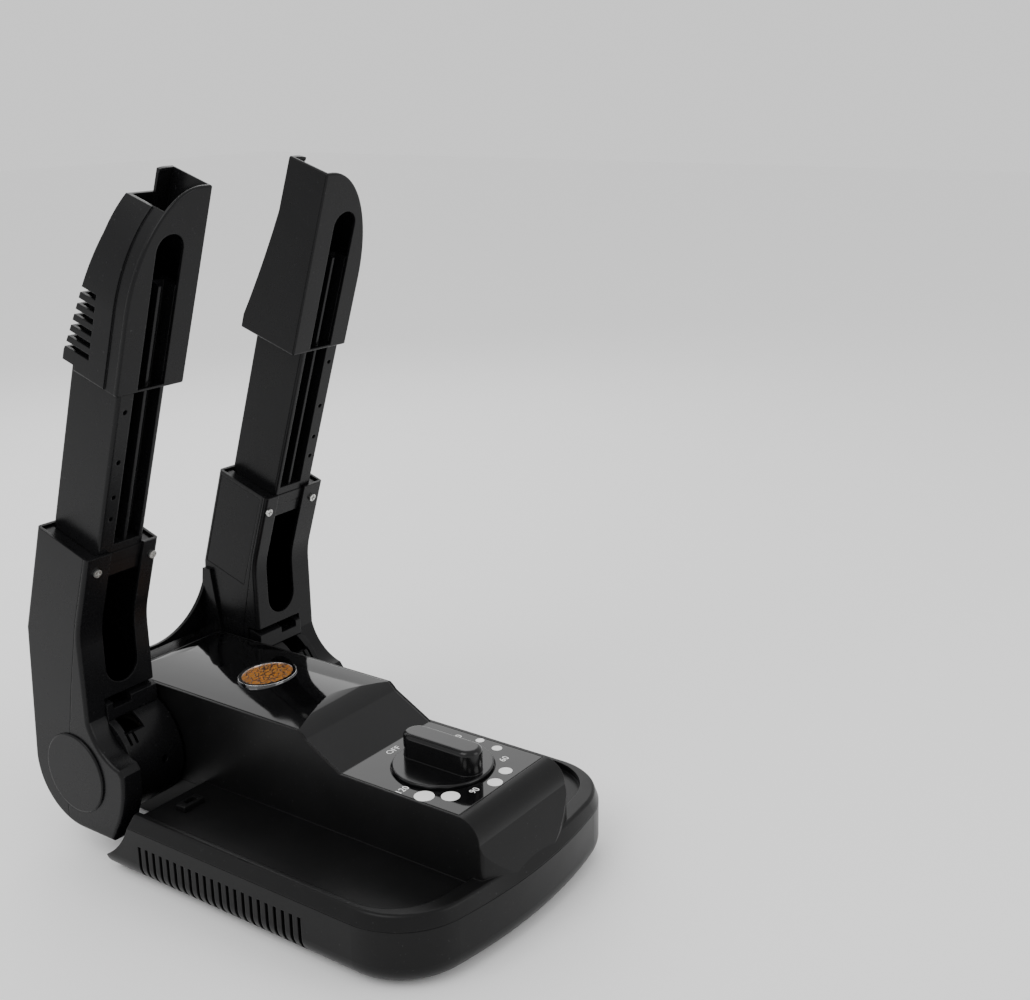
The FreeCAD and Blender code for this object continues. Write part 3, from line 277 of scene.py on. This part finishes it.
class DryerFinishes(bpy.types.PropertyGroup):
    base_colour: FloatVectorProperty(
        name="Base colour", description="Colour of the base's moulded plastic", subtype="COLOR", size=3,
        min=0.0, max=1.0, default=(0.0040, 0.0040, 0.0042))
    arm_colour: FloatVectorProperty(
        name="Arm colour", description="Colour of the arms, tubes and nozzles", subtype="COLOR", size=3,
        min=0.0, max=1.0, default=(0.0036, 0.0036, 0.0040))
    gloss_colour: FloatVectorProperty(
        name="Cover colour", description="Colour of the glossy centre cover and the knob", subtype="COLOR",
        size=3, min=0.0, max=1.0, default=(0.0026, 0.0026, 0.0029))
    badge_colour: FloatVectorProperty(
        name="Badge colour", description="Enamel of the oval badge", subtype="COLOR", size=3,
        min=0.0, max=1.0, default=(0.70, 0.20, 0.03))
    base_roughness: FloatProperty(
        name="Base roughness", description="How matt the base is", min=0.0, max=1.0, default=0.30,
        subtype="FACTOR")
    arm_roughness: FloatProperty(
        name="Arm roughness", description="How matt the arms are", min=0.0, max=1.0, default=0.24,
        subtype="FACTOR")


class DialPrint(bpy.types.PropertyGroup):
    radius: FloatProperty(
        name="Print radius", description="Radius of the ring of marks round the knob", default=0.0375,
        unit="LENGTH")
    start: FloatProperty(
        name="Start angle", description="Angle of the OFF mark, from the front towards the right",
        default=math.radians(182.5), subtype="ANGLE")
    step: FloatProperty(
        name="Step", description="Angle from one mark to the next", default=math.radians(22.8),
        subtype="ANGLE")
    marks: IntProperty(name="Marks", description="Marks on the dial, OFF included", default=13)
    first_dot: FloatProperty(
        name="First dot", description="Radius of the dot for ten minutes", default=0.0008, unit="LENGTH")
    dot_growth: FloatProperty(
        name="Dot growth", description="How much each mark's dot radius grows", default=0.00046,
        unit="LENGTH")
    text_size: FloatProperty(
        name="Text size", description="Height of the numerals", default=0.0062, unit="LENGTH")
    thickness: FloatProperty(
        name="Ink thickness", description="Thickness of the print", default=0.00012, unit="LENGTH")


class Studio(bpy.types.PropertyGroup):
    floor_colour: FloatVectorProperty(
        name="Floor colour", description="Colour of the pale floor", subtype="COLOR", size=3,
        min=0.0, max=1.0, default=(0.97, 0.97, 0.97))
    lens: FloatProperty(name="Lens", description="Focal length of the camera in millimetres", default=49.09)
    camera_place: FloatVectorProperty(
        name="Camera", description="Where the camera stands", subtype="XYZ", size=3, unit="LENGTH",
        default=(-0.5777, -0.5485, 0.4682))
    yaw: FloatProperty(
        name="Yaw", description="Turn of the view from straight along +Y towards +X",
        default=math.radians(54.6), subtype="ANGLE")
    pitch: FloatProperty(
        name="Pitch", description="How far the camera looks down", default=math.radians(17.0),
        subtype="ANGLE")
    roll: FloatProperty(
        name="Roll", description="Tilt of the camera about its line of sight",
        default=math.radians(0.84), subtype="ANGLE")


# ------------------------------------------------------------------ finishes for the frame's own pieces

def finish_for_slots(settings):
    """Materials by the record's slot names."""
    base = tuple(settings.base_colour)
    arm = tuple(settings.arm_colour)
    gloss = tuple(settings.gloss_colour)
    return {
        "base_black": moulded_plastic("satin_base_black", base, settings.base_roughness, 0.30, 0.0008),
        "arm_black": moulded_plastic("satin_arm_black", arm, settings.arm_roughness, 0.18, 0.0007),
        "gloss_black": gloss_plastic("gloss_cover_black", gloss, 0.05, 0.0010),
        "knob_black": gloss_plastic("gloss_knob_black", gloss, 0.14, 0.0008),
        "inner_plastic": moulded_plastic("inner_works_grey", (0.045, 0.045, 0.05), 0.5, 0.3, 0.0004),
        "heat_plastic": moulded_plastic("heat_resisting_grey", (0.07, 0.066, 0.06), 0.55, 0.4, 0.0004),
        "zinc_steel": metal("zinc_plated_steel", (0.62, 0.62, 0.60), 0.28, 0.0008),
        "motor_steel": metal("plated_motor_can", (0.50, 0.50, 0.50), 0.30, 0.0010, (1, 1, 0.1)),
        "heater_metal": metal("heater_strip_metal", (0.60, 0.59, 0.57), 0.40, 0.0010),
        "chrome_trim": metal("polished_badge_chrome", (0.82, 0.82, 0.83), 0.06, 0.0030),
        "badge_orange": badge_enamel("orange_badge_enamel", tuple(settings.badge_colour)),
        "black_rubber": rubber("matt_black_rubber"),
    }


class BOOTDRYER_OT_finish_frame(bpy.types.Operator):
    """Give every designed piece of the dryer its own procedural finish"""
    bl_idname = "bootdryer.finish_frame"
    bl_label = "Finish the casing"

    def execute(self, context):
        finishes = finish_for_slots(context.scene.dryer_finishes)
        for row in frame["record"]["subparts"]:
            dress(frame["nodes"][row["node"]], finishes[row["material_slot"]])
        return {"FINISHED"}


# ------------------------------------------------------------------ dial print

DOT_INPUTS = (
    ("Marks", "NodeSocketInt"),
    ("Radius", "NodeSocketFloat"),
    ("Start", "NodeSocketFloat"),
    ("Step", "NodeSocketFloat"),
    ("First", "NodeSocketFloat"),
    ("Growth", "NodeSocketFloat"),
    ("Thickness", "NodeSocketFloat"),
    ("Centre", "NodeSocketVector"),
)


def link(group, source, target):
    group.links.new(source, target)


def dial_dots_tree(ink):
    """Dots of growing size round an arc, leaving out the marks where a numeral stands."""
    group = bpy.data.node_groups.new("dial_dots", "GeometryNodeTree")
    ids = {}
    for name, kind in DOT_INPUTS:
        ids[name] = group.interface.new_socket(name=name, in_out="INPUT", socket_type=kind).identifier
    group.interface.new_socket(name="Geometry", in_out="OUTPUT", socket_type="NodeSocketGeometry")
    nodes = group.nodes
    source = nodes.new("NodeGroupInput")
    sink = nodes.new("NodeGroupOutput")

    def maths(operation, a, b=None):
        made = nodes.new("ShaderNodeMath")
        made.operation = operation
        for socket, value in zip(made.inputs, (a, b)):
            if isinstance(value, bpy.types.NodeSocket):
                link(group, value, socket)
            elif value is not None:
                socket.default_value = value
        return made.outputs[0]

    index = nodes.new("GeometryNodeInputIndex").outputs[0]
    turned = maths("MULTIPLY", index, source.outputs["Step"])
    angle = maths("SUBTRACT", source.outputs["Start"], turned)

    # a point for each mark, placed round the knob
    place = nodes.new("ShaderNodeCombineXYZ")
    link(group, maths("MULTIPLY", source.outputs["Radius"], maths("SINE", angle)), place.inputs[0])
    along = maths("MULTIPLY", source.outputs["Radius"], maths("COSINE", angle))
    link(group, maths("MULTIPLY", along, -1.0), place.inputs[1])
    points = nodes.new("GeometryNodePoints")
    link(group, source.outputs["Marks"], points.inputs["Count"])
    shifted = nodes.new("ShaderNodeVectorMath")
    shifted.operation = "ADD"
    link(group, place.outputs[0], shifted.inputs[0])
    link(group, source.outputs["Centre"], shifted.inputs[1])
    link(group, shifted.outputs[0], points.inputs["Position"])

    # each point keeps its dot's size, because deleting points renumbers them
    size = maths("ADD", source.outputs["First"], maths("MULTIPLY", index, source.outputs["Growth"]))
    scale = nodes.new("ShaderNodeCombineXYZ")
    link(group, size, scale.inputs[0])
    link(group, size, scale.inputs[1])
    scale.inputs[2].default_value = 1.0
    stored = nodes.new("GeometryNodeStoreNamedAttribute")
    stored.data_type = "FLOAT_VECTOR"
    stored.inputs["Name"].default_value = "dot_size"
    link(group, points.outputs[0], stored.inputs["Geometry"])
    link(group, scale.outputs[0], stored.inputs["Value"])

    # points that a numeral takes are deleted
    numeral = nodes.new("FunctionNodeCompare")
    numeral.operation = "LESS_THAN"
    link(group, maths("MODULO", index, float(MARKS_PER_NUMERAL)), numeral.inputs[0])
    numeral.inputs[1].default_value = 0.5
    cleared = nodes.new("GeometryNodeDeleteGeometry")
    link(group, stored.outputs[0], cleared.inputs["Geometry"])
    link(group, numeral.outputs[0], cleared.inputs["Selection"])

    # a flat disc on every point that is left
    disc = nodes.new("GeometryNodeMeshCylinder")
    disc.inputs["Vertices"].default_value = DOT_VERTICES
    disc.inputs["Radius"].default_value = 1.0
    link(group, source.outputs["Thickness"], disc.inputs["Depth"])
    read = nodes.new("GeometryNodeInputNamedAttribute")
    read.data_type = "FLOAT_VECTOR"
    read.inputs["Name"].default_value = "dot_size"
    spread = nodes.new("GeometryNodeInstanceOnPoints")
    link(group, cleared.outputs[0], spread.inputs["Points"])
    link(group, disc.outputs["Mesh"], spread.inputs["Instance"])
    link(group, read.outputs[0], spread.inputs["Scale"])
    real = nodes.new("GeometryNodeRealizeInstances")
    link(group, spread.outputs[0], real.inputs[0])
    inked = nodes.new("GeometryNodeSetMaterial")
    inked.inputs["Material"].default_value = ink
    link(group, real.outputs[0], inked.inputs[0])
    link(group, inked.outputs[0], sink.inputs[0])
    return group, ids


def bake_tree(name, group, ids, values):
    """Run a Geometry Nodes tree once and keep its result as a plain mesh object."""
    holder = bpy.data.objects.new(name, bpy.data.meshes.new(name))
    bpy.context.scene.collection.objects.link(holder)
    modifier = holder.modifiers.new("build", "NODES")
    modifier.node_group = group
    for key, value in values.items():
        modifier[ids[key]] = value
    bpy.context.view_layer.update()
    graph = bpy.context.evaluated_depsgraph_get()
    mesh = bpy.data.meshes.new_from_object(holder.evaluated_get(graph), depsgraph=graph)
    holder.modifiers.remove(modifier)
    holder.data = mesh
    return holder


def numeral_mesh(words, size, thickness, place):
    """Flat lettering as a mesh, centred on place and reading along +X."""
    curve = bpy.data.curves.new("lettering", "FONT")
    curve.body = words
    curve.size = size
    curve.extrude = thickness / 2
    curve.align_x = "CENTER"
    curve.align_y = "CENTER"
    curve.resolution_u = LETTER_STEPS
    obj = bpy.data.objects.new("lettering", curve)
    bpy.context.scene.collection.objects.link(obj)
    bpy.context.view_layer.update()
    graph = bpy.context.evaluated_depsgraph_get()
    mesh = bpy.data.meshes.new_from_object(obj.evaluated_get(graph), depsgraph=graph)
    mesh.transform(Matrix.Translation(place))
    bpy.data.objects.remove(obj)
    return mesh


class BOOTDRYER_OT_dial_print(bpy.types.Operator):
    """Print the timer's numerals and its growing dots round the knob"""
    bl_idname = "bootdryer.dial_print"
    bl_label = "Dial print"

    def execute(self, context):
        dial = context.scene.dryer_dial
        ink = print_ink("white_dial_print")
        centre = Vector((DIAL_X, DIAL_Y, PANEL_Z + dial.thickness / 2))
        group, ids = dial_dots_tree(ink)
        dots = bake_tree("dial_dots", group, ids, {
            "Marks": dial.marks, "Radius": dial.radius, "Start": dial.start, "Step": dial.step,
            "First": dial.first_dot, "Growth": dial.dot_growth, "Thickness": dial.thickness,
            "Centre": tuple(centre)})
        bpy.data.node_groups.remove(group)
        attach(dots, "base")
        builder = bmesh.new()
        for index in range(0, dial.marks, MARKS_PER_NUMERAL):
            angle = dial.start - index * dial.step
            outward = Vector((math.sin(angle), -math.cos(angle), 0))
            spot = centre + outward * dial.radius * NUMERAL_REACH
            words = "OFF" if index == 0 else str(index * MINUTES_PER_MARK)
            mesh = numeral_mesh(words, dial.text_size, dial.thickness, spot)
            builder.from_mesh(mesh)
            bpy.data.meshes.remove(mesh)
        lettering = bpy.data.meshes.new("dial_numerals")
        bmesh.ops.remove_doubles(builder, verts=builder.verts, dist=MERGE_DISTANCE)
        builder.to_mesh(lettering)
        builder.free()
        numerals = bpy.data.objects.new("dial_numerals", lettering)
        context.scene.collection.objects.link(numerals)
        dress(numerals, ink)
        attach(numerals, "base")
        return {"FINISHED"}


# ------------------------------------------------------------------ stage

def flat_mesh(name, points, faces):
    mesh = bpy.data.meshes.new(name)
    mesh.from_pydata(points, [], faces)
    obj = bpy.data.objects.new(name, mesh)
    bpy.context.scene.collection.objects.link(obj)
    return obj


def area_light(name, place, target, size, power):
    """White rectangular soft box at place, facing target."""
    lamp = bpy.data.lights.new(name, "AREA")
    lamp.shape = "RECTANGLE"
    lamp.size, lamp.size_y = size
    lamp.energy = power
    obj = bpy.data.objects.new(name, lamp)
    away = Vector(place) - Vector(target)
    obj.matrix_world = Matrix.Translation(place) @ away.to_track_quat("Z", "Y").to_matrix().to_4x4()
    bpy.context.scene.collection.objects.link(obj)


class BOOTDRYER_OT_stage(bpy.types.Operator):
    """Set out the pale floor, the soft studio lights and the camera"""
    bl_idname = "bootdryer.stage"
    bl_label = "Studio"

    def execute(self, context):
        studio = context.scene.dryer_studio
        rim = [(x * FLOOR_HALF, y * FLOOR_HALF, 0) for x, y in ((-1, -1), (1, -1), (1, 1), (-1, 1))]
        floor = flat_mesh("studio_floor", rim, [(0, 1, 2, 3)])
        dress(floor, pale_floor("pale_floor", tuple(studio.floor_colour)))
        for soft_box in SOFT_BOXES:
            area_light(*soft_box)
        world = bpy.data.worlds.new("white_studio")
        world.use_nodes = True
        background = world.node_tree.nodes["Background"]
        background.inputs["Color"].default_value = WHITE
        background.inputs["Strength"].default_value = 1.0
        context.scene.world = world
        set_camera(context.scene, studio)
        return {"FINISHED"}


def set_camera(scene, studio):
    """Camera at the wanted place, looking along yaw and pitch, then rolled."""
    sy, cy = math.sin(studio.yaw), math.cos(studio.yaw)
    sp, cp = math.sin(studio.pitch), math.cos(studio.pitch)
    ahead = Vector((sy * cp, cy * cp, -sp))
    right = Vector((cy, -sy, 0))
    down = ahead.cross(right)
    cr, sr = math.cos(studio.roll), math.sin(studio.roll)
    side = right * cr + down * sr
    low = down * cr - right * sr
    lens = bpy.data.cameras.new("studio_camera")
    lens.lens = studio.lens
    lens.sensor_width = SENSOR_WIDTH
    lens.clip_start = 0.01
    camera = bpy.data.objects.new("studio_camera", lens)
    axes = Matrix((side, -low, -ahead)).transposed()
    camera.matrix_world = Matrix.Translation(studio.camera_place) @ axes.to_4x4()
    scene.collection.objects.link(camera)
    scene.camera = camera


# ------------------------------------------------------------------ add-on

class BOOTDRYER_PT_panel(bpy.types.Panel):
    """Sidebar panel with the dryer's operators and all their settings"""
    bl_label = "Boot Dryer"
    bl_idname = "BOOTDRYER_PT_panel"
    bl_space_type = "VIEW_3D"
    bl_region_type = "UI"
    bl_category = "Boot Dryer"

    def draw(self, context):
        layout = self.layout
        for operator in OPERATORS:
            layout.operator(operator.bl_idname)
        for group in (context.scene.dryer_finishes, context.scene.dryer_dial, context.scene.dryer_studio):
            for key in group.__annotations__:
                layout.prop(group, key)


OPERATORS = (BOOTDRYER_OT_stage, BOOTDRYER_OT_finish_frame, BOOTDRYER_OT_dial_print)
CLASSES = (DryerFinishes, DialPrint, Studio) + OPERATORS + (BOOTDRYER_PT_panel,)


def register():
    for cls in CLASSES:
        bpy.utils.register_class(cls)
    bpy.types.Scene.dryer_finishes = PointerProperty(type=DryerFinishes)
    bpy.types.Scene.dryer_dial = PointerProperty(type=DialPrint)
    bpy.types.Scene.dryer_studio = PointerProperty(type=Studio)


def unregister():
    del bpy.types.Scene.dryer_studio
    del bpy.types.Scene.dryer_dial
    del bpy.types.Scene.dryer_finishes
    for cls in reversed(CLASSES):
        bpy.utils.unregister_class(cls)


def main():
    register()
    bpy.ops.bootdryer.stage()
    bpy.ops.bootdryer.finish_frame()
    bpy.ops.bootdryer.dial_print()


if __name__ == "__main__":
    main()
